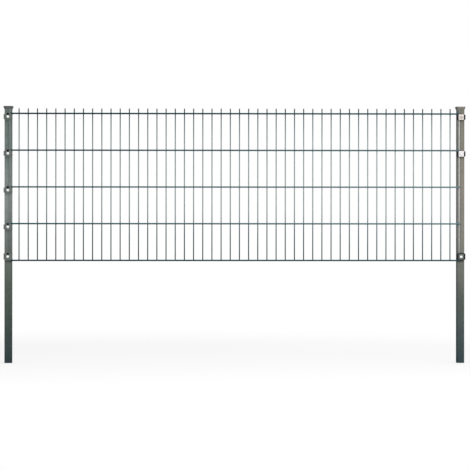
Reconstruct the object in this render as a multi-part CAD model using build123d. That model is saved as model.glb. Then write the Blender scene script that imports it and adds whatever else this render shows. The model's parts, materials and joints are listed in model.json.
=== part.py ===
from build123d import *
import os

# Double wire mesh fence panel clipped to the front of two posts, in millimetres.
# X runs along the fence, -Y faces the viewer, Z is up.
# The origin lies midway between the two post feet, on the posts' centre plane.

# Mesh
VERTICAL_COUNT = 50
VERTICALS_PER_NODE = 10
VERTICAL_PITCH = 50.0
VERTICAL_DIAMETER = 6.0
ROW_COUNT = 5
ROW_PITCH = 200.0
HORIZONTAL_DIAMETER = 8.0
# Length of a horizontal wire past the centre of the last vertical
HORIZONTAL_OVERHANG = 5.0
# Height of the free wire ends above the centre of the top horizontal
SPIKE_HEIGHT = 27.5
# Depth to which a resistance weld lets two crossing wires into each other
WELD_SINK = 0.4
# Bevel at the cut ends of the wires
WIRE_END_BEVEL = 0.8

# Posts
POST_WIDTH = 40.0
POST_DEPTH = 60.0
POST_WALL = 2.0
POST_CORNER_RADIUS = 3.5
# Least radius of a corner inside the tube
INNER_CORNER_RADIUS = 1.0
# Height of the bottom horizontal above the post's lower end, most of it in the ground
BOTTOM_WIRE_HEIGHT = 560.0
# Height of the tube's top end above the top horizontal
MESH_TO_POST_TOP = 37.5
# Gap between the rear wires and the front wall of the post
PANEL_REST_GAP = 0.2

# Post caps
CAP_TOP_THICKNESS = 3.5
CAP_TOP_BEVEL = 1.5
# Height of the straight lip, above the skirt that flares out to meet it
CAP_LIP_HEIGHT = 4.0
CAP_SKIRT_DEPTH = 12.0
# Wall at the skirt's lower edge, and how much further out the lip stands
CAP_SKIRT_WALL = 1.4
CAP_FLARE = 4.0
CAP_FIT = 0.3
CAP_PLUG_DEPTH = 18.0
CAP_PLUG_WALL = 2.0
CAP_PLUG_LEAD_IN = 1.2
CAP_RIB_COUNT = 3
CAP_RIB_HEIGHT = 1.6
CAP_RIB_PROUD = 0.6

# Clips, pressed from plate
CLIP_PLATE = 3.0
CLIP_BEND_RADIUS = 3.0
CLIP_WIRE_GAP = 0.3
# Height of the claws between the wires, taller on the lowest clips
UPPER_CLAW_SPAN = 26.4
LOWER_CLAW_SPAN = 33.4
CLAW_WAIST = 9.0
CLAW_SIDE_GAP = 0.6
CLAW_OVERLAP = 8.0
CLAW_TIP_RADIUS = 2.5
# Height of the web past the claws, in front of the wires
WEB_LIP = 3.8
WEB_CORNER_RADIUS = 3.0
BOLT_HOLE_GAP = 0.5
# Rim of the round lobe above the bolt of a left clip, about the spacer's peg
LOBE_RIM = 6.5

# Flat clamp plates on the right clips, under the bolt heads
PLATE_WIDTH = 28.0
PLATE_HEIGHT = 30.5
PLATE_THICKNESS = 2.0
PLATE_CORNER_RADIUS = 1.5

# Spacers on the bolts, between the clip and the insert in the post
SPACER_WALL = 1.8
SPACER_BORE_GAP = 0.2
SPACER_WIRE_GAP = 1.0
# Gap between a left spacer's nose and the wire ends on either side of it
NOSE_END_GAP = 1.0
PEG_DIAMETER = 10.6
PEG_GAP = 0.2
PEG_PROUD = 1.0
PEG_EDGE_RADIUS = 0.6
PEG_TO_WASHER = 1.2

# Hexagon bolts, washers and blind threaded inserts
BOLT_DIAMETER = 8.0
BOLT_LENGTH = 40.0
BOLT_TIP_CHAMFER = 1.0
BOLT_HEAD_FLATS = 13.0
BOLT_HEAD_HEIGHT = 5.3
BOLT_HEAD_CHAMFER = 0.8
WASHER_DIAMETER = 16.0
WASHER_THICKNESS = 1.6
WASHER_BORE_GAP = 0.2
INSERT_THREAD_GAP = 0.1
INSERT_WALL = 1.4
INSERT_HOLE_GAP = 0.05
INSERT_FLANGE_RIM = 2.0
INSERT_FLANGE_THICKNESS = 1.5
INSERT_BULGE_LENGTH = 3.0
INSERT_BULGE_RADIUS = 1.5
INSERT_BARREL_LENGTH = 11.0

# Wires, counted from the top, that each post holds with a clip: on the right the upper ones and the lowest
RIGHT_UPPER_COUNT = 2
LEFT_CLIPS = tuple(range(1, ROW_COUNT + 1))
RIGHT_CLIPS = LEFT_CLIPS[:RIGHT_UPPER_COUNT] + LEFT_CLIPS[-1:]

# How far a cut runs past the face that it opens
CUT_PAST = 1.0

# Sizes of the small pieces that follow from the bolt
SPACER_RADIUS = BOLT_DIAMETER / 2 + SPACER_BORE_GAP + SPACER_WALL
INSERT_BARREL_RADIUS = BOLT_DIAMETER / 2 + INSERT_THREAD_GAP + INSERT_WALL
INSERT_FLANGE_RADIUS = INSERT_BARREL_RADIUS + INSERT_FLANGE_RIM
PEG_HEIGHT = WASHER_DIAMETER / 2 + PEG_TO_WASHER + PEG_DIAMETER / 2
LOBE_RADIUS = PEG_DIAMETER / 2 + PEG_GAP + LOBE_RIM

# Places along the fence
MESH_WIDTH = (VERTICAL_COUNT - 1) * VERTICAL_PITCH
END_WIRE_TO_POST = SPACER_RADIUS + SPACER_WIRE_GAP + VERTICAL_DIAMETER / 2
POST_SPACING = MESH_WIDTH + 2 * END_WIRE_TO_POST
WIRE_END_TO_POST = END_WIRE_TO_POST - HORIZONTAL_OVERHANG

# Places in depth, from the post's front wall towards the viewer
POST_FRONT = -POST_DEPTH / 2
WIRE_STEP = (HORIZONTAL_DIAMETER + VERTICAL_DIAMETER) / 2 - WELD_SINK
REAR_WIRE_Y = POST_FRONT - PANEL_REST_GAP - HORIZONTAL_DIAMETER / 2
VERTICAL_WIRE_Y = REAR_WIRE_Y - WIRE_STEP
FRONT_WIRE_Y = VERTICAL_WIRE_Y - WIRE_STEP
WEB_BACK = FRONT_WIRE_Y - HORIZONTAL_DIAMETER / 2 - CLIP_WIRE_GAP
WEB_FRONT = WEB_BACK - CLIP_PLATE
BOLT_SEAT = WEB_FRONT - WASHER_THICKNESS
INSERT_FRONT = POST_FRONT - INSERT_FLANGE_THICKNESS

# Heights
TOP_WIRE_Z = BOTTOM_WIRE_HEIGHT + (ROW_COUNT - 1) * ROW_PITCH
POST_TOP = TOP_WIRE_Z + MESH_TO_POST_TOP


def wire_height(row):
    """Height of a horizontal wire, counted from 1 at the top."""
    return TOP_WIRE_Z - (row - 1) * ROW_PITCH


def claw_span(row):
    """Height of a clip's claws."""
    return LOWER_CLAW_SPAN if row == ROW_COUNT else UPPER_CLAW_SPAN


def bolt_height(row):
    """Height of a clip's bolt: below its wire, but above the bottom wire."""
    side = 1 if row == ROW_COUNT else -1
    return wire_height(row) + side * (HORIZONTAL_DIAMETER / 2 + CLIP_WIRE_GAP + claw_span(row) / 2)


def along_y(radius, front, back, z=0.0):
    """Round bar along Y between two depths."""
    bar = Cylinder(radius, back - front, rotation=(90, 0, 0))
    return Pos(0, (front + back) / 2, z) * bar


def hole(radius, front, back, z=0.0):
    """Round cut along Y through a wall between two depths."""
    return along_y(radius, front - CUT_PAST, back + CUT_PAST, z)


def tube_outline(grow):
    """Post section grown all round by a distance, with its corners."""
    radius = max(POST_CORNER_RADIUS + grow, INNER_CORNER_RADIUS)
    return RectangleRounded(POST_WIDTH + 2 * grow, POST_DEPTH + 2 * grow, radius)


def post(rows):
    """Rectangular tube with a hole in its front wall for each insert."""
    section = tube_outline(0) - tube_outline(-POST_WALL)
    tube = extrude(section, POST_TOP)
    hole_radius = INSERT_BARREL_RADIUS + INSERT_HOLE_GAP
    for row in rows:
        tube -= hole(hole_radius, POST_FRONT, POST_FRONT + POST_WALL, bolt_height(row))
    return tube


def post_cap():
    """Flared plastic cap: a skirt over the tube's end and a ribbed plug inside it."""
    skirt_bottom = POST_TOP - CAP_SKIRT_DEPTH
    shoulder = POST_TOP + CAP_TOP_THICKNESS - CAP_TOP_BEVEL
    lip_bottom = shoulder - CAP_LIP_HEIGHT
    low = CAP_FIT + CAP_SKIRT_WALL
    high = low + CAP_FLARE
    skirt = loft([Pos(Z=skirt_bottom) * tube_outline(low), Pos(Z=lip_bottom) * tube_outline(high)])
    lip = Pos(Z=lip_bottom) * extrude(tube_outline(high), CAP_LIP_HEIGHT)
    crown = loft(
        [
            Pos(Z=shoulder) * tube_outline(high),
            Pos(Z=shoulder + CAP_TOP_BEVEL) * tube_outline(high - CAP_TOP_BEVEL),
        ]
    )
    cap = skirt + lip + crown
    cap -= Pos(Z=skirt_bottom) * extrude(tube_outline(CAP_FIT), CAP_SKIRT_DEPTH)
    return cap + plug()


def plug():
    """Hollow plug of a cap, with grip ribs, inside the tube."""
    plug_bottom = POST_TOP - CAP_PLUG_DEPTH
    rib_face = -POST_WALL - CAP_FIT
    plug_face = rib_face - CAP_RIB_PROUD
    lead_top = plug_bottom + CAP_PLUG_LEAD_IN
    lead_in = [
        Pos(Z=plug_bottom) * tube_outline(plug_face - CAP_PLUG_LEAD_IN),
        Pos(Z=lead_top) * tube_outline(plug_face),
    ]
    body = loft(lead_in) + Pos(Z=lead_top) * extrude(tube_outline(plug_face), POST_TOP - lead_top)
    rib_step = (CAP_PLUG_DEPTH - CAP_PLUG_LEAD_IN) / (CAP_RIB_COUNT + 1)
    for rib in range(1, CAP_RIB_COUNT + 1):
        rib_z = POST_TOP - rib * rib_step
        body += Pos(Z=rib_z) * extrude(tube_outline(rib_face), CAP_RIB_HEIGHT)
    hollow = extrude(tube_outline(plug_face - CAP_PLUG_WALL), CAP_PLUG_DEPTH)
    return body - Pos(Z=plug_bottom) * hollow


def wire(diameter, length):
    """Straight upright wire with bevelled ends, centred on the origin."""
    bar = Cylinder(diameter / 2, length)
    return chamfer(bar.edges().filter_by(GeomType.CIRCLE), WIRE_END_BEVEL)


def horizontal_wire(y, row):
    """One straight wire along the fence."""
    length = MESH_WIDTH + 2 * HORIZONTAL_OVERHANG
    return Pos(0, y, wire_height(row)) * Rot(Y=90) * wire(HORIZONTAL_DIAMETER, length)


def vertical_wires(first):
    """A run of upright wires, each its own solid, level with the bottom horizontals."""
    bottom = wire_height(ROW_COUNT) - HORIZONTAL_DIAMETER / 2
    height = TOP_WIRE_Z + SPIKE_HEIGHT - bottom
    wires = []
    for index in range(first, min(first + VERTICALS_PER_NODE, VERTICAL_COUNT)):
        x = index * VERTICAL_PITCH - MESH_WIDTH / 2
        wires.append(Pos(x, VERTICAL_WIRE_Y, bottom + height / 2) * wire(VERTICAL_DIAMETER, height))
    return Compound(children=wires)


def clip(span, with_lobe):
    """Pressed clip about its bolt: a web in front of the wires and four claws round the post."""
    inside_width = POST_WIDTH + 2 * CLAW_SIDE_GAP
    outside_width = inside_width + 2 * CLIP_PLATE
    bend_outside = CLIP_BEND_RADIUS + CLIP_PLATE
    claw_end = POST_FRONT + CLAW_OVERLAP
    channel = bent_channel(outside_width, span, WEB_FRONT, claw_end, bend_outside)
    channel -= bent_channel(inside_width, span, WEB_BACK, claw_end + CUT_PAST, CLIP_BEND_RADIUS)
    tips = channel.edges().filter_by(Axis.X).group_by(Axis.Y)[-1]
    body = fillet(tips, CLAW_TIP_RADIUS)
    body -= waist(outside_width, WEB_FRONT + bend_outside, claw_end)
    body += web(outside_width - 2 * bend_outside, span + 2 * WEB_LIP, with_lobe)
    body -= hole(BOLT_DIAMETER / 2 + BOLT_HOLE_GAP, WEB_FRONT, WEB_BACK)
    if with_lobe:
        body -= hole(PEG_DIAMETER / 2 + PEG_GAP, WEB_FRONT, WEB_BACK, PEG_HEIGHT)
    return body


def waist(width, front, back):
    """Slot with a round end that parts the upper claws from the lower ones."""
    cut_width = width + 2 * CUT_PAST
    round_y = front + CLAW_WAIST / 2
    length = back + CUT_PAST - round_y
    slot = Box(cut_width, length, CLAW_WAIST, align=(Align.CENTER, Align.MIN, Align.CENTER))
    return Pos(Y=round_y) * (slot + Cylinder(CLAW_WAIST / 2, cut_width, rotation=(0, 90, 0)))


def bent_channel(width, height, front, back, radius):
    """Block as high as the claws, with its two front upright edges rounded as bends."""
    block = Box(width, back - front, height, align=(Align.CENTER, Align.MIN, Align.CENTER))
    block = fillet(block.edges().filter_by(Axis.Z).group_by(Axis.Y)[0], radius)
    return Pos(Y=front) * block


def web(width, height, with_lobe):
    """Flat front of a clip, which stands past the claws to cover the wires."""
    outline = RectangleRounded(width, height, WEB_CORNER_RADIUS)
    if with_lobe:
        outline += Pos(Y=PEG_HEIGHT) * Circle(LOBE_RADIUS)
    return extrude(Plane.XZ.offset(-WEB_BACK) * outline, CLIP_PLATE)


def spacer(with_peg):
    """Moulded spacer on the bolt; a left one has a nose between the wire ends and a peg."""
    body = along_y(SPACER_RADIUS, WEB_BACK, INSERT_FRONT)
    if with_peg:
        nose_radius = WIRE_END_TO_POST - NOSE_END_GAP
        nose_depth = INSERT_FRONT - WEB_BACK
        nose = Box(2 * nose_radius, nose_depth, PEG_HEIGHT, align=(Align.CENTER, Align.MIN, Align.MIN))
        body += Pos(Y=WEB_BACK) * nose
        body += along_y(nose_radius, WEB_BACK, INSERT_FRONT, PEG_HEIGHT)
        peg = along_y(PEG_DIAMETER / 2, WEB_FRONT - PEG_PROUD, WEB_BACK, PEG_HEIGHT)
        body += fillet(peg.edges().sort_by(Axis.Y)[0], PEG_EDGE_RADIUS)
    return body - hole(BOLT_DIAMETER / 2 + SPACER_BORE_GAP, WEB_BACK, INSERT_FRONT)


def plate():
    """Flat clamp plate on the front of a right clip."""
    outline = RectangleRounded(PLATE_WIDTH, PLATE_HEIGHT, PLATE_CORNER_RADIUS)
    body = extrude(Plane.XZ.offset(-WEB_FRONT) * outline, PLATE_THICKNESS)
    return body - hole(BOLT_DIAMETER / 2 + BOLT_HOLE_GAP, WEB_FRONT - PLATE_THICKNESS, WEB_FRONT)


def washer():
    """Flat washer on the front of a clip."""
    disc = along_y(WASHER_DIAMETER / 2, BOLT_SEAT, WEB_FRONT)
    return disc - hole(BOLT_DIAMETER / 2 + WASHER_BORE_GAP, BOLT_SEAT, WEB_FRONT)


def bolt():
    """Hexagon bolt from its washer through clip and spacer into the insert."""
    hexagon = RegularPolygon(BOLT_HEAD_FLATS / 2, 6, major_radius=False)
    head = extrude(Plane.XZ.offset(-BOLT_SEAT) * hexagon, BOLT_HEAD_HEIGHT)
    corner_radius = BOLT_HEAD_FLATS / 3**0.5
    rounded = along_y(corner_radius, BOLT_SEAT - BOLT_HEAD_HEIGHT, BOLT_SEAT)
    rounded = chamfer(rounded.edges().sort_by(Axis.Y)[0], BOLT_HEAD_CHAMFER)
    shank = along_y(BOLT_DIAMETER / 2, BOLT_SEAT, BOLT_SEAT + BOLT_LENGTH)
    shank = chamfer(shank.edges().sort_by(Axis.Y)[-1], BOLT_TIP_CHAMFER)
    return (head & rounded) + shank


def insert_nut():
    """Blind threaded insert set in the post's front wall."""
    wall_back = POST_FRONT + POST_WALL
    bulge_back = wall_back + INSERT_BULGE_LENGTH
    barrel_back = bulge_back + INSERT_BARREL_LENGTH
    flange = along_y(INSERT_FLANGE_RADIUS, INSERT_FRONT, POST_FRONT)
    barrel = along_y(INSERT_BARREL_RADIUS, POST_FRONT, barrel_back)
    bulge = along_y(INSERT_FLANGE_RADIUS, wall_back, bulge_back)
    bulge = fillet(bulge.edges().sort_by(Axis.Y)[-1], INSERT_BULGE_RADIUS)
    return flange + barrel + bulge - hole(BOLT_DIAMETER / 2 + INSERT_THREAD_GAP, INSERT_FRONT, barrel_back)


os.makedirs("parts", exist_ok=True)


def save(shape, node):
    """Write one named piece."""
    export_step(shape, f"parts/{node}.step")


for row in range(1, ROW_COUNT + 1):
    save(horizontal_wire(FRONT_WIRE_Y, row), f"front_wire_{row}")
    save(horizontal_wire(REAR_WIRE_Y, row), f"rear_wire_{row}")

for group, first in enumerate(range(0, VERTICAL_COUNT, VERTICALS_PER_NODE), start=1):
    save(vertical_wires(first), f"vertical_wires_{group}")

for side, x, rows, with_lobe in (
    ("left", -POST_SPACING / 2, LEFT_CLIPS, True),
    ("right", POST_SPACING / 2, RIGHT_CLIPS, False),
):
    save(Pos(X=x) * post(rows), f"{side}_post")
    save(Pos(X=x) * post_cap(), f"{side}_post_cap")
    inserts = [Pos(x, 0, bolt_height(row)) * insert_nut() for row in rows]
    save(Compound(children=inserts), f"{side}_insert_nuts")
    for row in rows:
        place = Pos(x, 0, bolt_height(row))
        save(place * clip(claw_span(row), with_lobe), f"{side}_clip_{row}")
        save(place * spacer(with_lobe), f"{side}_spacer_{row}")
        if not with_lobe:
            save(place * plate(), f"{side}_plate_{row}")
            place *= Pos(Y=-PLATE_THICKNESS)
        save(place * washer(), f"{side}_washer_{row}")
        save(place * bolt(), f"{side}_bolt_{row}")
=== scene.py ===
import json
import math
import bpy
from mathutils import Matrix, Vector


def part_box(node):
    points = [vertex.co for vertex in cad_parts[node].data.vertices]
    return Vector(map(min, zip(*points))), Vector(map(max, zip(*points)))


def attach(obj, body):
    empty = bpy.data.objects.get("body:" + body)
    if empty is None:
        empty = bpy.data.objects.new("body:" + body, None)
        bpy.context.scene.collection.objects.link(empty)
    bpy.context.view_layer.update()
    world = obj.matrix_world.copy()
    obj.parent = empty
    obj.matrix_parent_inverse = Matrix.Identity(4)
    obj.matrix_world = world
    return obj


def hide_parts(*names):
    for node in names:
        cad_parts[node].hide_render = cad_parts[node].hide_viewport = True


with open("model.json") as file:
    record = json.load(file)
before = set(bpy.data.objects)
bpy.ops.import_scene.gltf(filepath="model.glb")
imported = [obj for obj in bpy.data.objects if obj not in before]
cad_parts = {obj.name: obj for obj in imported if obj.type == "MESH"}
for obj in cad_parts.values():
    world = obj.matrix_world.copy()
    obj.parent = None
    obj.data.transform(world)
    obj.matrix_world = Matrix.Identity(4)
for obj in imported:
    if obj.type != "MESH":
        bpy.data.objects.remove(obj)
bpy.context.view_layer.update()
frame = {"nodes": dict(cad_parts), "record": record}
nodes = frame["nodes"]
slot_of = {row["node"]: row["material_slot"] for row in frame["record"]["subparts"]}
scene = bpy.context.scene
scene.view_settings.view_transform = "Standard"


def middle(node):
    """Centre of a node's box at rest."""
    low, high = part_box(node)
    return (low + high) / 2


def extent(node):
    """Size of a node's box at rest."""
    low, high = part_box(node)
    return high - low


def count(start):
    """Number of nodes whose names begin with the given text."""
    return sum(name.startswith(start) for name in nodes)


# Mesh layout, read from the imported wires; lengths here and below are in metres
WIRES_PER_NODE = 10
WIRE_COUNT = WIRES_PER_NODE * count("vertical_wires_")
ROW_COUNT = count("front_wire_")
ROW_HEIGHTS = [middle(f"front_wire_{row}").z for row in range(1, ROW_COUNT + 1)]
FRONT_WIRE_Y = middle("front_wire_1").y
REAR_WIRE_Y = middle("rear_wire_1").y
VERTICAL_Y = middle("vertical_wires_1").y
PITCH = (middle("vertical_wires_2").x - middle("vertical_wires_1").x) / WIRES_PER_NODE
HORIZONTAL_R = extent("front_wire_1").z / 2
VERTICAL_R = (extent("vertical_wires_1").x - (WIRES_PER_NODE - 1) * PITCH) / 2

# Weld beads: half sizes of a lens, and how much its size and its outline vary
BEAD_WIDTH, BEAD_DEPTH, BEAD_HEIGHT = 0.0029, 0.0012, 0.0026
BEAD_SWELL, BEAD_BULGE, BEAD_LOBES = 0.18, 0.10, 3
BEAD_RINGS, BEAD_SEGMENTS = 4, 10
# Steps of the angle by which one bead differs from the next: along a wire, down a row and per metre of depth
BEAD_STEP, BEAD_ROW_STEP, BEAD_DEPTH_STEP = 12.9898, 78.233, 40.0

# Clip bolts: hexagon head, and a thread on the far end of the shank
BOLT_R, TIP_CHAMFER = 0.004, 0.001
HEAD_FLAT, HEAD_CHAMFER, CHAMFER_STEPS = extent("left_bolt_1").z / 2, 0.0008, 4
THREAD_PITCH, THREAD_DEPTH, THREAD_TURNS, THREAD_MARGIN = 0.00125, 0.00067, 16, 0.0003
# Corners of the thread along one pitch, each with its share of the depth: first the crest, then the root
THREAD_PROFILE = ((0.0, 0.0), (0.125, 0.0), (0.4375, 1.0), (0.6875, 1.0))

# Domed heads on the left spacers' pegs, seated on the clips
PEG_R, PEG_HEAD_LIP, PEG_HEAD_RIM, PEG_HEAD_RISE = 0.0053, 0.0010, 0.0006, 0.0010
PEG_HEAD_R = PEG_R + PEG_HEAD_LIP
PEG_HEAD_STEPS = 6

# Sides of the round pieces, and the angle from which their edges look sharp
ROUND_SIDES, SHARP_ANGLE = 36, math.radians(30)

# Heights and ends between which the finishes change in tone; these changes are painted light and shade
POST_SPAN = (0.0, 1.4)
MESH_SPAN = (0.55, 1.39)
PANEL_ENDS = (-1.25, 1.25)
POST_EDGE = (1.205, 1.215)
END_WIRE_FOOT = (0.60, 0.85)
END_WIRE_TIP = (1.355, 1.368)
# How far a surface has to look to the left to take the darker tone painted as shade on the right post's and
# right cap's sides that face the mesh
LEFT_FACING = (-0.45, -0.08)
# Width of the worn edges on plate and tube and on moulded pieces
PLATE_EDGE, MOULDED_EDGE = 0.0007, 0.0009
# Directions in which brushing and die marks are drawn out
ALONG_X, ALONG_Z, NO_GRAIN = (0.03, 1, 1), (1, 1, 0.03), (1, 1, 1)
BRUSHED_Y, BRUSHED_Z = (1, 0.05, 1), (1, 1, 0.05)
ROLLED_Z = (1, 1, 0.035)
# Colour sockets of a Mix node, whose names are the same for each kind of value
MIX_A, MIX_B, MIX_RESULT = 6, 7, 2

# Light, floor and camera
WORLD_LIGHT = 0.25
FLOOR_HALF, FLOOR_PALE, FLOOR_GLOW = 60.0, 0.42, 0.73
PALE_RADIUS, WHITE_RADIUS = 2.4, 4.5
LAMP_AIM = (0.0, 0.0, 0.8)
SENSOR_WIDTH, FOCAL_IN_WIDTHS, VIEW_END = 36.0, 5.839226, 200.0
CAMERA_PLACE = (-0.321121, -15.0, 0.8)
CAMERA_YAW, CAMERA_PITCH, CAMERA_ROLL = -0.021053, -0.001428, 0.000747
CAMERA_SHIFT = (0.002697, -0.031207)


def srgb(r, g, b):
    """Screen colour from 0 to 255 as a linear colour."""
    def lin(v):
        v /= 255.0
        return v / 12.92 if v <= 0.04045 else ((v + 0.055) / 1.055) ** 2.4
    return (lin(r), lin(g), lin(b), 1.0)


class Finish:
    """Node tree of one material, built step by step round a principled shader."""

    def __init__(self, name):
        self.material = bpy.data.materials.new(name)
        self.material.use_nodes = True
        self.tree = self.material.node_tree
        self.tree.nodes.clear()
        self.shader = self.add("ShaderNodeBsdfPrincipled")
        self.link(self.shader.outputs[0], self.add("ShaderNodeOutputMaterial").inputs[0])
        self.place = self.add("ShaderNodeTexCoord").outputs["Object"]
        split = self.add("ShaderNodeSeparateXYZ")
        self.link(self.place, split.inputs[0])
        self.axis = split.outputs

    def add(self, kind, **values):
        node = self.tree.nodes.new(kind)
        for key, value in values.items():
            setattr(node, key, value)
        return node

    def link(self, a, b):
        self.tree.links.new(a, b)

    def stretch(self, scale):
        """The place on the piece, with each axis scaled."""
        node = self.add("ShaderNodeMapping")
        node.inputs["Scale"].default_value = scale
        self.link(self.place, node.inputs["Vector"])
        return node.outputs["Vector"]

    def noise(self, scale, detail=3.0, rough=0.55, vector=None):
        node = self.add("ShaderNodeTexNoise")
        node.inputs["Scale"].default_value = scale
        node.inputs["Detail"].default_value = detail
        node.inputs["Roughness"].default_value = rough
        self.link(vector or self.place, node.inputs["Vector"])
        return node.outputs["Fac"]

    def cells(self, scale):
        """A random value for each crystal-like cell."""
        node = self.add("ShaderNodeTexVoronoi")
        node.inputs["Scale"].default_value = scale
        self.link(self.place, node.inputs["Vector"])
        split = self.add("ShaderNodeSeparateColor")
        self.link(node.outputs["Color"], split.inputs["Color"])
        return split.outputs[0]

    def spread(self, value, low, high, start=0.3, end=0.7):
        """A value from start to end mapped to low to high, held at both ends."""
        node = self.add("ShaderNodeMapRange")
        node.inputs["From Min"].default_value = start
        node.inputs["From Max"].default_value = end
        node.inputs["To Min"].default_value = low
        node.inputs["To Max"].default_value = high
        self.link(value, node.inputs["Value"])
        return node.outputs["Result"]

    def times(self, a, b):
        node = self.add("ShaderNodeMath", operation="MULTIPLY")
        self.link(a, node.inputs[0])
        self.link(b, node.inputs[1])
        return node.outputs[0]

    def shade(self, color, *factors):
        """Colour multiplied by one or more values."""
        factor = factors[0]
        for more in factors[1:]:
            factor = self.times(factor, more)
        node = self.add("ShaderNodeVectorMath", operation="SCALE")
        self.link(color, node.inputs[0])
        self.link(factor, node.inputs["Scale"])
        return node.outputs["Vector"]

    def blend(self, factor, a, b):
        """Mix of two colours, each a socket or a fixed colour."""
        node = self.add("ShaderNodeMix", data_type="RGBA")
        self.link(factor, node.inputs["Factor"])
        for value, index in ((a, MIX_A), (b, MIX_B)):
            if isinstance(value, tuple):
                node.inputs[index].default_value = value
            else:
                self.link(value, node.inputs[index])
        return node.outputs[MIX_RESULT]

    def by_height(self, span, stops):
        """Tone that changes with height."""
        node = self.add("ShaderNodeValToRGB")
        ramp = node.color_ramp
        while len(ramp.elements) < len(stops):
            ramp.elements.new(0.5)
        for element, (position, color) in zip(ramp.elements, stops):
            element.position = position
            element.color = color
        self.link(self.spread(self.axis["Z"], 0.0, 1.0, *span), node.inputs["Fac"])
        return node.outputs["Color"]

    def along_fence(self):
        """0 at the left end of the fence and 1 at its right end."""
        return self.spread(self.axis["X"], 0.0, 1.0, *PANEL_ENDS)

    def normal(self):
        return self.add("ShaderNodeNewGeometry").outputs["Normal"]

    def facing(self, axis):
        """How far the surface looks along one axis, from -1 to 1."""
        split = self.add("ShaderNodeSeparateXYZ")
        self.link(self.normal(), split.inputs[0])
        return split.outputs[axis]

    def looks_left(self):
        """1 on faces and rounded corners that look to the left end of the fence, and 0 on the rest."""
        return self.spread(self.facing("X"), 1.0, 0.0, *LEFT_FACING)

    def edges(self, width):
        """1 along the piece's sharp edges, broken up by noise, and 0 on its faces."""
        rounded = self.add("ShaderNodeBevel", samples=8)
        rounded.inputs["Radius"].default_value = width
        match = self.add("ShaderNodeVectorMath", operation="DOT_PRODUCT")
        self.link(rounded.outputs["Normal"], match.inputs[0])
        self.link(self.normal(), match.inputs[1])
        edge = self.spread(match.outputs["Value"], low=1.0, high=0.0, start=0.80, end=0.97)
        breaks = self.noise(scale=160, detail=5, rough=0.7)
        return self.times(edge, self.spread(breaks, low=0.0, high=1.0, start=0.36, end=0.60))

    def bump(self, value, strength, distance):
        node = self.add("ShaderNodeBump")
        node.inputs["Strength"].default_value = strength
        node.inputs["Distance"].default_value = distance
        self.link(value, node.inputs["Height"])
        self.link(node.outputs["Normal"], self.shader.inputs["Normal"])

    def done(self, color, roughness, metallic, specular):
        self.link(color, self.shader.inputs["Base Color"])
        self.link(roughness, self.shader.inputs["Roughness"])
        self.shader.inputs["Metallic"].default_value = metallic
        self.shader.inputs["Specular IOR Level"].default_value = specular
        return self.material


def coated_tube(name, stops, worn, inner=None):
    """Coated tube or plate with spangle, rolling streaks, worn edges and a tone that changes with height,
    which is painted shade and light: darker towards the foot and lighter at mid height. Where inner stops
    are given, faces that look to the left take them as painted shade.
    """
    f = Finish(name)
    spangle = f.spread(f.cells(scale=90), low=0.94, high=1.06, start=0.0, end=1.0)
    rolled = f.noise(scale=70, detail=4, rough=0.6, vector=f.stretch(ROLLED_Z))
    streaks = f.spread(rolled, low=0.92, high=1.08)
    patches = f.spread(f.noise(scale=7), low=0.94, high=1.06)
    tone = f.by_height(POST_SPAN, stops)
    if inner:
        tone = f.blend(f.looks_left(), tone, f.by_height(POST_SPAN, inner))
    color = f.blend(f.edges(PLATE_EDGE), f.shade(tone, spangle, streaks, patches), worn)
    f.bump(f.noise(scale=420), strength=0.12, distance=0.0006)
    roughness = f.spread(f.noise(scale=140, detail=4), low=0.68, high=0.86)
    return f.done(color, roughness, metallic=0.0, specular=0.03)


def over_posts(f, tone, left, right):
    """The wire's tone, with other tones for the end wires in front of the posts, which are painted light: a
    pale painted highlight on the right one, and the left one lightened to match its post. Both are darker at
    the foot, and the right one at its tip under the cap, as painted shade.
    """
    reach = f.add("ShaderNodeMath", operation="ABSOLUTE")
    f.link(f.axis["X"], reach.inputs[0])
    end_tone = f.blend(f.along_fence(), left, right)
    end_tone = f.shade(end_tone, f.spread(f.axis["Z"], 0.6, 1.0, *END_WIRE_FOOT))
    tip = f.times(f.spread(f.axis["Z"], 0.0, 1.0, *END_WIRE_TIP), f.along_fence())
    end_tone = f.shade(end_tone, f.spread(tip, low=1.0, high=0.4, start=0.0, end=1.0))
    return f.blend(f.spread(reach.outputs[0], 0.0, 1.0, *POST_EDGE), tone, end_tone)


def coated_wire(name, left, right, along, ends=None):
    """Drawn wire under a thin coat, with die marks along it, from the tones of the fence's left end to those
    of its right end and, if given, other tones for the end wires in front of the posts.
    These tones are painted shade and light: darker at the left end, at the foot and at the top, lighter
    towards the right."""
    f = Finish(name)
    drawn = f.spread(f.noise(scale=900, detail=3, rough=0.6, vector=f.stretch(along)), low=0.90, high=1.10)
    patches = f.spread(f.noise(scale=11), low=0.93, high=1.07)
    tone = f.blend(f.along_fence(), f.by_height(MESH_SPAN, left), f.by_height(MESH_SPAN, right))
    if ends:
        tone = over_posts(f, tone, *ends)
    f.bump(f.noise(scale=1500, detail=2), strength=0.15, distance=0.0003)
    roughness = f.spread(f.noise(scale=260), low=0.50, high=0.70)
    return f.done(f.shade(tone, drawn, patches), roughness, metallic=0.05, specular=0.03)


def moulded(name, dark, light, dust, specular, inner=None):
    """Moulded plastic with a fine grain and a little dust on its upper faces and edges. An inner colour,
    where given, is painted shade on the faces that look to the left.
    """
    f = Finish(name)
    base = f.blend(f.spread(f.noise(scale=60, detail=4), low=0.0, high=1.0), dark, light)
    if inner:
        base = f.blend(f.looks_left(), base, inner)
    upper = f.spread(f.facing("Z"), low=0.0, high=0.5, start=0.3, end=1.0)
    settled = f.spread(f.noise(scale=35, detail=5), low=0.3, high=1.0, start=0.35, end=0.65)
    dusty = f.blend(f.times(upper, settled), base, dust)
    f.bump(f.noise(scale=2600, detail=2), strength=0.25, distance=0.0003)
    roughness = f.spread(f.noise(scale=300), low=0.60, high=0.80)
    return f.done(f.blend(f.edges(MOULDED_EDGE), dusty, dust), roughness, metallic=0.0, specular=specular)


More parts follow.
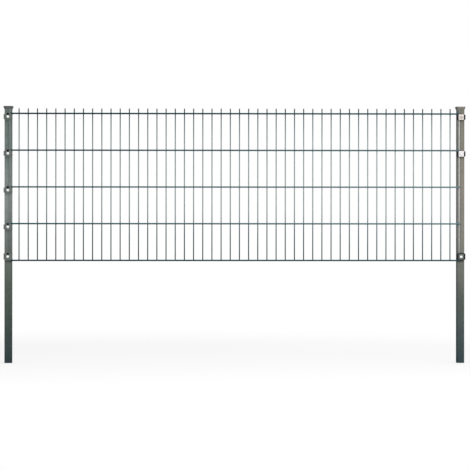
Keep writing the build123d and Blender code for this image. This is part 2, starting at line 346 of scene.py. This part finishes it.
def plated(name, bright, dull, brushed):
    """Bright zinc plate with fine brushing and duller patches; the near-white tones it is given on the right
    plates and the bolts are partly painted highlight.
    """
    f = Finish(name)
    lines = f.noise(scale=1400, detail=3, rough=0.6, vector=f.stretch(brushed))
    patch = f.spread(f.noise(scale=120), low=0.0, high=1.0, start=0.40, end=0.68)
    color = f.shade(f.blend(patch, bright, dull), f.spread(lines, low=0.92, high=1.05))
    scratches = f.noise(scale=1800, detail=2, rough=0.6, vector=f.stretch(brushed))
    f.bump(scratches, strength=0.10, distance=0.0002)
    roughness = f.spread(f.noise(scale=500), low=0.30, high=0.50)
    return f.done(color, roughness, metallic=0.50, specular=0.3)


# Finishes of the posts, with stops from the foot to the top. Both posts have one coat: the two sets of stops
# are painted shade and light, the left post cooler and the right post warmer, both darker towards the foot.
post_left = coated_tube("post_coat_left", stops=[
    (0.00, srgb(54, 66, 69)), (0.30, srgb(87, 97, 88)), (0.46, srgb(118, 125, 121)),
    (0.64, srgb(149, 157, 155)), (0.78, srgb(123, 134, 131)), (0.95, srgb(111, 124, 117)),
], worn=srgb(176, 182, 180))
# The right post's inner stops are painted shade on its side that looks to the left, toward the mesh.
post_right = coated_tube("post_coat_right", stops=[
    (0.00, srgb(58, 73, 78)), (0.25, srgb(94, 100, 95)), (0.45, srgb(134, 134, 126)),
    (0.70, srgb(146, 141, 132)), (0.95, srgb(132, 130, 120)),
], worn=srgb(186, 183, 176), inner=[
    (0.00, srgb(50, 66, 71)), (0.17, srgb(66, 81, 83)), (0.37, srgb(90, 97, 98)),
    (0.62, srgb(138, 141, 140)), (0.90, srgb(125, 131, 129)),
])

# Finishes of the mesh, with stops from the bottom wire to the free tips. All wires have one coat: the
# horizontals are painted darker than the verticals as painted shade, and both are painted darker at the left
# end and lighter to the right.
horizontal_coat = coated_wire("horizontal_wire_coat", left=[
    (0.01, srgb(14, 56, 64)), (0.25, srgb(36, 80, 89)), (0.49, srgb(60, 92, 100)),
    (0.73, srgb(38, 70, 77)), (0.97, srgb(7, 46, 53)),
], right=[
    (0.01, srgb(56, 90, 98)), (0.25, srgb(102, 131, 139)), (0.49, srgb(116, 141, 148)),
    (0.73, srgb(94, 121, 128)), (0.97, srgb(46, 90, 99)),
], along=ALONG_X)
# The end tones are painted light: a pale painted highlight on the right end wire, and the left one lightened
# to match its post.
vertical_coat = coated_wire("vertical_wire_coat", left=[
    (0.05, srgb(4, 42, 50)), (0.20, srgb(46, 71, 78)), (0.32, srgb(124, 134, 138)),
    (0.50, srgb(138, 147, 150)), (0.78, srgb(127, 138, 142)), (0.92, srgb(94, 110, 115)),
    (0.96, srgb(20, 56, 62)),
], right=[
    (0.05, srgb(36, 68, 76)), (0.20, srgb(92, 114, 122)), (0.32, srgb(159, 169, 173)),
    (0.50, srgb(167, 176, 179)), (0.78, srgb(159, 170, 174)), (0.92, srgb(107, 123, 129)),
    (0.96, srgb(32, 66, 72)),
], along=ALONG_Z, ends=(srgb(138, 149, 145), srgb(220, 220, 217)))
# The welds take the wires' painted shade and light: darker at the bottom, at the top and at the left end.
weld_coat = coated_wire("weld_coat", left=[
    (0.00, srgb(36, 62, 69)), (0.50, srgb(88, 112, 119)), (1.00, srgb(30, 55, 61)),
], right=[
    (0.00, srgb(55, 79, 86)), (0.50, srgb(114, 136, 143)), (1.00, srgb(50, 76, 83)),
], along=NO_GRAIN)

# Finishes of the caps, clips and fasteners
# The caps are one plastic: the left cap is a shaded copy and the right cap a lit copy, with painted shade on
# its side that looks to the left.
cap_shaded_left = moulded(
    "cap_plastic_left", dark=srgb(95, 97, 96), light=srgb(110, 113, 111), dust=srgb(130, 130, 124),
    specular=0.04)
cap_lit_right = moulded(
    "cap_plastic_right", dark=srgb(140, 134, 129), light=srgb(160, 153, 147), dust=srgb(162, 157, 150),
    specular=0.04, inner=srgb(104, 103, 104))
spacer_black = moulded(
    "spacer_plastic", dark=srgb(3, 3, 3), light=srgb(7, 7, 8), dust=srgb(20, 20, 20), specular=0.02)
# The clips' tones by height are painted shade and light, as on the posts.
clip_coat = coated_tube("clip_coat", stops=[
    (0.30, srgb(106, 111, 106)), (0.62, srgb(118, 124, 120)), (0.95, srgb(110, 118, 112)),
], worn=srgb(188, 192, 190))
# Near-black tone on the right clips' claws, beside their bright faces.
clip_dark = coated_tube(
    "clip_near_black", stops=[(0.30, srgb(46, 47, 48)), (0.95, srgb(54, 54, 55))], worn=srgb(128, 130, 131))
# The right clips' bright plates: bright zinc whose near-white tones are a painted glint, the second plate's
# whiter than the first.
clip_bright = plated(
    "clip_zinc_glint", bright=srgb(238, 230, 225), dull=srgb(220, 208, 202), brushed=BRUSHED_Z)
clip_white = plated(
    "clip_zinc_whiter_glint", bright=srgb(250, 246, 247), dull=srgb(240, 233, 234), brushed=BRUSHED_Z)
# The bolts' near-white tone is bright zinc with a painted highlight on top of it.
fastener_zinc_glint = plated(
    "fastener_zinc_glint", bright=srgb(252, 253, 253), dull=srgb(240, 242, 242), brushed=BRUSHED_Y)
# The first right clip's bolt: the bolts' zinc as a shaded copy, without their painted highlight.
shaded_zinc = plated(
    "shaded_zinc", bright=srgb(204, 198, 195), dull=srgb(186, 180, 177), brushed=BRUSHED_Y)
washer_zinc = plated(
    "washer_zinc", bright=srgb(176, 180, 178), dull=srgb(148, 152, 150), brushed=NO_GRAIN)

FINISH_OF_SLOT = {
    "mesh_wire": horizontal_coat,
    "post_metal": post_right,
    "cap_plastic": cap_lit_right,
    "clip_metal": clip_coat,
    "clip_dark": clip_dark,
    "clip_bright": clip_bright,
    "zinc_fastener": fastener_zinc_glint,
    "spacer_plastic": spacer_black,
}
# Nodes with finishes of their own, among them the left post's and left cap's copies with their own painted
# light and shade, right_plate_2's whiter painted glint and right_bolt_1's shaded zinc.
FINISH_OF_NODE = {
    "left_post": post_left,
    "left_post_cap": cap_shaded_left,
    "right_plate_2": clip_white,
    "right_bolt_1": shaded_zinc,
    **{name: vertical_coat for name in nodes if name.startswith("vertical")},
    **{name: washer_zinc for name in nodes if "washer" in name},
}


def finish_for(name):
    """A node's own finish, or else that of its material slot."""
    return FINISH_OF_NODE.get(name, FINISH_OF_SLOT[slot_of[name]])


for name, node in nodes.items():
    node.data.materials.clear()
    node.data.materials.append(finish_for(name))


def new_piece(name, points, faces, finish):
    """A smooth mesh object with one finish."""
    mesh = bpy.data.meshes.new(name)
    mesh.from_pydata(points, [], faces)
    mesh.shade_smooth()
    mesh.materials.append(finish)
    piece = bpy.data.objects.new(name, mesh)
    scene.collection.objects.link(piece)
    return piece


class RoundMesh:
    """Points and faces of a piece round an axis along Y."""

    def __init__(self, x, z):
        self.x, self.z = x, z
        self.turns = [2 * math.pi * side / ROUND_SIDES for side in range(ROUND_SIDES)]
        self.points, self.faces = [], []

    def point(self, turn, y, reach):
        self.points.append((self.x + reach * math.sin(turn), y, self.z + reach * math.cos(turn)))
        return len(self.points) - 1

    def ring(self, y, reach):
        """Points once round the axis, as far from it as reach gives for each turn."""
        return [self.point(turn, y, reach(turn)) for turn in self.turns]

    def circle(self, y, radius):
        return self.ring(y, lambda turn: radius)

    def skin(self, a, b):
        """Faces between two rings."""
        self.strip(a + a[:1], b + b[:1])

    def strip(self, a, b):
        """Faces between two rows of points, as far as the shorter one goes."""
        for side in range(min(len(a), len(b)) - 1):
            self.faces.append((a[side], a[side + 1], b[side + 1], b[side]))

    def close_front(self, y, edge):
        """Faces from a point on the axis to a ring level with it or behind it."""
        centre = self.point(0.0, y, 0.0)
        for side in range(ROUND_SIDES):
            self.faces.append((centre, edge[(side + 1) % ROUND_SIDES], edge[side]))

    def close_back(self, y, edge):
        """Faces from a point on the axis to a ring level with it, seen from behind."""
        centre = self.point(0.0, y, 0.0)
        for side in range(ROUND_SIDES):
            self.faces.append((centre, edge[side], edge[(side + 1) % ROUND_SIDES]))


class BoltMesh(RoundMesh):
    """One hexagon bolt, from the front of its head to its tip."""

    def __init__(self, low, high, seat):
        super().__init__((low.x + high.x) / 2, (low.z + high.z) / 2)
        self.front, self.seat, self.tip = low.y, seat, high.y
        self.thread_start = high.y - THREAD_MARGIN - (THREAD_TURNS + 1) * THREAD_PITCH
        head = self.head()
        shank = self.circle(self.thread_start - THREAD_MARGIN, BOLT_R)
        self.skin(head, shank)
        self.close_tip(self.thread(shank))

    def head(self):
        """Chamfered hexagon head, down to the ring where the shank meets it."""
        corner = HEAD_FLAT / math.cos(math.pi / 6)

        def hexagon(turn):
            return HEAD_FLAT / math.cos((turn - math.pi / 6) % (math.pi / 3) - math.pi / 6)

        last = self.circle(self.front, HEAD_FLAT - HEAD_CHAMFER)
        self.close_front(self.front, last)
        for step in range(CHAMFER_STEPS + 1):
            drop = HEAD_CHAMFER * step / CHAMFER_STEPS
            cone = corner - HEAD_CHAMFER + drop
            bevel = self.ring(self.front + drop, lambda turn: min(hexagon(turn), cone))
            self.skin(last, bevel)
            last = bevel
        under = self.ring(self.seat, hexagon)
        self.skin(last, under)
        neck = self.circle(self.seat, BOLT_R)
        self.skin(under, neck)
        return neck

    def thread_radius(self, y, share):
        """Radius on the thread, whose groove fades in at its start and ends in the tip's chamfer."""
        fade = min(max((y - self.thread_start) / THREAD_PITCH - 1.0, 0.0), 1.0)
        return min(BOLT_R - THREAD_DEPTH * share * fade, BOLT_R - TIP_CHAMFER + self.tip - y)

    def thread(self, shank):
        """Right-hand thread as rows of points that climb one pitch a turn; returns its last rows."""
        per_turn, last = len(THREAD_PROFILE), ROUND_SIDES - 1
        rows = []
        for index in range(per_turn * THREAD_TURNS + 1):
            offset, share = THREAD_PROFILE[index % per_turn]
            start = self.thread_start + (index // per_turn + offset) * THREAD_PITCH
            climb = [(turn, start + THREAD_PITCH * turn / (2 * math.pi)) for turn in self.turns]
            rows.append([self.point(turn, y, self.thread_radius(y, share)) for turn, y in climb])
        joined = [row + [up[0] for up in rows[index + per_turn:index + per_turn + 1]]
                  for index, row in enumerate(rows)]
        for a, b in zip(joined, joined[1:]):
            self.strip(a, b)
        self.strip(shank, rows[0])
        self.faces.append((shank[last], shank[0], *[row[0] for row in rows[:per_turn + 1]], rows[0][last]))
        return rows[-per_turn - 1:]

    def close_tip(self, rows):
        """Chamfer from the thread's last turn to the flat end."""
        last = ROUND_SIDES - 1
        end = self.circle(self.tip, BOLT_R - TIP_CHAMFER)
        self.strip(rows[-1], end)
        self.faces.append((*[row[last] for row in reversed(rows)], rows[-1][0], end[0], end[last]))
        self.close_back(self.tip, end)


class PegHeadMesh(RoundMesh):
    """One low domed head, from its crown to the flat foot on its seat."""

    def __init__(self, x, z, seat):
        super().__init__(x, z)
        self.rim = seat - PEG_HEAD_RIM
        last = self.dome(1)
        self.close_front(self.rim - PEG_HEAD_RISE, last)
        for step in range(2, PEG_HEAD_STEPS + 1):
            ring = self.dome(step)
            self.skin(last, ring)
            last = ring
        foot = self.circle(seat, PEG_HEAD_R)
        self.skin(last, foot)
        self.close_back(seat, foot)

    def dome(self, step):
        """One ring of the dome, counted from the crown."""
        slope = math.pi / 2 * step / PEG_HEAD_STEPS
        return self.circle(self.rim - PEG_HEAD_RISE * math.cos(slope), PEG_HEAD_R * math.sin(slope))


def threaded_bolt(name):
    """A bolt with its thread cut, in place of the plain solid."""
    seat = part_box(name.replace("bolt", "washer"))[0].y
    bolt = BoltMesh(*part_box(name), seat)
    piece = new_piece(name + "_threaded", bolt.points, bolt.faces, finish_for(name))
    piece.data.set_sharp_from_angle(angle=SHARP_ANGLE)
    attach(piece, name)
    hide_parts(name)


def peg_head(spacer):
    """Head on a left spacer's peg, seated on the front of its clip."""
    low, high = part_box(spacer)
    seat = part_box(spacer.replace("spacer", "washer"))[1].y
    head = PegHeadMesh((low.x + high.x) / 2, high.z - PEG_R, seat)
    piece = new_piece(spacer + "_peg_head", head.points, head.faces, spacer_black)
    piece.data.set_sharp_from_angle(angle=SHARP_ANGLE)
    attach(piece, spacer.replace("spacer", "clamp"))


def weld_bead(centre, width, height, phase):
    """Points and faces of one uneven lens of squeezed-out weld metal."""
    points = [centre + Vector((0, -BEAD_DEPTH, 0))]
    for ring in range(1, BEAD_RINGS + 1):
        polar = math.pi * ring / (BEAD_RINGS + 1)
        y = -BEAD_DEPTH * math.cos(polar)
        for segment in range(BEAD_SEGMENTS):
            turn = 2 * math.pi * segment / BEAD_SEGMENTS
            reach = math.sin(polar) * (1.0 + BEAD_BULGE * math.sin(BEAD_LOBES * turn + phase))
            offset = (width * reach * math.cos(turn), y, height * reach * math.sin(turn))
            points.append(centre + Vector(offset))
    points.append(centre + Vector((0, BEAD_DEPTH, 0)))
    last = len(points) - 1
    faces = []
    for segment in range(BEAD_SEGMENTS):
        after = (segment + 1) % BEAD_SEGMENTS
        faces.append((0, 1 + segment, 1 + after))
        for ring in range(BEAD_RINGS - 1):
            low, high = 1 + ring * BEAD_SEGMENTS, 1 + (ring + 1) * BEAD_SEGMENTS
            faces.append((low + segment, high + segment, high + after, low + after))
        faces.append((last - BEAD_SEGMENTS + after, last - BEAD_SEGMENTS + segment, last))
    return points, faces


def weld_beads(name, contact_y):
    """Weld metal round each crossing of one layer of horizontals, as one mesh."""
    points, faces = [], []
    for row, z in enumerate(ROW_HEIGHTS):
        for index in range(WIRE_COUNT):
            x = (index - (WIRE_COUNT - 1) / 2) * PITCH
            phase = BEAD_STEP * index + BEAD_ROW_STEP * row + BEAD_DEPTH_STEP * contact_y
            swell = BEAD_SWELL * math.sin(phase)
            centre = Vector((x, contact_y, z))
            bead = weld_bead(centre, BEAD_WIDTH * (1.0 + swell), BEAD_HEIGHT * (1.0 - swell), phase)
            start = len(points)
            points += bead[0]
            faces += [tuple(start + corner for corner in face) for face in bead[1]]
    piece = new_piece(name, points, faces, weld_coat)
    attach(piece, "fence")


for name in [name for name in nodes if "_bolt_" in name]:
    threaded_bolt(name)

for name in [name for name in nodes if name.startswith("left_spacer_")]:
    peg_head(name)

weld_beads("front_weld_beads", (FRONT_WIRE_Y + HORIZONTAL_R + VERTICAL_Y - VERTICAL_R) / 2)
weld_beads("rear_weld_beads", (REAR_WIRE_Y - HORIZONTAL_R + VERTICAL_Y + VERTICAL_R) / 2)


def math_node(tree, operation, a, b):
    """Result of one operation on two sockets or numbers."""
    node = tree.nodes.new("ShaderNodeMath")
    node.operation = operation
    for socket, value in zip(node.inputs, (a, b)):
        if isinstance(value, (int, float)):
            socket.default_value = value
        else:
            tree.links.new(value, socket)
    return node.outputs[0]


def shows_background(tree):
    """1 for the rays that show the background: camera, mirror and clear ones."""
    path = tree.nodes.new("ShaderNodeLightPath")
    mirror = math_node(tree, "MAXIMUM", path.outputs["Is Glossy Ray"], path.outputs["Is Transmission Ray"])
    return math_node(tree, "MAXIMUM", path.outputs["Is Camera Ray"], mirror)


def studio_world():
    """White behind the part, and a softer grey as light on it."""
    world = bpy.data.worlds.new("studio")
    world.use_nodes = True
    tree = world.node_tree
    tree.nodes.clear()
    sky = tree.nodes.new("ShaderNodeBackground")
    sky.inputs["Color"].default_value = (1.0, 1.0, 1.0, 1.0)
    extra = math_node(tree, "MULTIPLY", shows_background(tree), 1.0 - WORLD_LIGHT)
    tree.links.new(math_node(tree, "ADD", extra, WORLD_LIGHT), sky.inputs["Strength"])
    tree.links.new(sky.outputs[0], tree.nodes.new("ShaderNodeOutputWorld").inputs[0])
    return world


def floor_paint():
    """Pale round the part, where it takes the shadow, and plain white further out."""
    paint = bpy.data.materials.new("floor_paint")
    paint.use_nodes = True
    tree = paint.node_tree
    tree.nodes.clear()
    from_middle = tree.nodes.new("ShaderNodeVectorMath")
    from_middle.operation = "LENGTH"
    tree.links.new(tree.nodes.new("ShaderNodeTexCoord").outputs["Object"], from_middle.inputs[0])
    near = tree.nodes.new("ShaderNodeMapRange")
    near.inputs["From Min"].default_value = WHITE_RADIUS
    near.inputs["From Max"].default_value = PALE_RADIUS
    tree.links.new(from_middle.outputs["Value"], near.inputs["Value"])
    matt = tree.nodes.new("ShaderNodeBsdfDiffuse")
    tree.links.new(math_node(tree, "MULTIPLY", near.outputs["Result"], FLOOR_PALE), matt.inputs["Color"])
    lost = math_node(tree, "MULTIPLY", near.outputs["Result"], 1.0 - FLOOR_GLOW)
    shown = math_node(tree, "SUBTRACT", 1.0, lost)
    glow = tree.nodes.new("ShaderNodeEmission")
    tree.links.new(math_node(tree, "MULTIPLY", shown, shows_background(tree)), glow.inputs["Strength"])
    both = tree.nodes.new("ShaderNodeAddShader")
    tree.links.new(matt.outputs[0], both.inputs[0])
    tree.links.new(glow.outputs[0], both.inputs[1])
    tree.links.new(both.outputs[0], tree.nodes.new("ShaderNodeOutputMaterial").inputs[0])
    return paint


def softbox(name, place, size, power):
    """Rectangular lamp that faces the part."""
    lamp = bpy.data.lights.new(name, "AREA")
    lamp.shape = "RECTANGLE"
    lamp.size, lamp.size_y = size
    lamp.energy = power
    lamp_object = bpy.data.objects.new(name, lamp)
    scene.collection.objects.link(lamp_object)
    lamp_object.location = place
    lamp_object.rotation_euler = (Vector(LAMP_AIM) - Vector(place)).to_track_quat("-Z", "Y").to_euler()
    lamp_object.visible_camera = False
    lamp_object.visible_glossy = False


scene.world = studio_world()

floor_corners = [(FLOOR_HALF * x, FLOOR_HALF * y, 0) for x, y in ((-1, -1), (1, -1), (1, 1), (-1, 1))]
floor_mesh = bpy.data.meshes.new("floor")
floor_mesh.from_pydata(floor_corners, [], [(0, 1, 2, 3)])
floor_mesh.materials.append(floor_paint())
floor = bpy.data.objects.new("floor", floor_mesh)
scene.collection.objects.link(floor)

softbox("key", place=(3.0, -6.5, 3.6), size=(6.0, 4.0), power=230.0)
softbox("front_fill", place=(-1.2, -8.0, 1.6), size=(7.0, 2.5), power=300.0)
softbox("rear_fill", place=(3.0, 8.0, 3.0), size=(6.0, 3.0), power=200.0)

# Camera at the photograph's viewing angle
camera = bpy.data.cameras.new("camera")
camera.sensor_width = SENSOR_WIDTH
camera.lens = SENSOR_WIDTH * FOCAL_IN_WIDTHS
camera.shift_x, camera.shift_y = CAMERA_SHIFT
camera.clip_end = VIEW_END
camera_object = bpy.data.objects.new("camera", camera)
scene.collection.objects.link(camera_object)
upright = Matrix.Rotation(math.pi / 2 + CAMERA_PITCH, 4, "X") @ Matrix.Rotation(CAMERA_ROLL, 4, "Z")
turned = Matrix.Rotation(CAMERA_YAW, 4, "Z") @ upright
camera_object.matrix_world = Matrix.Translation(CAMERA_PLACE) @ turned
scene.camera = camera_object
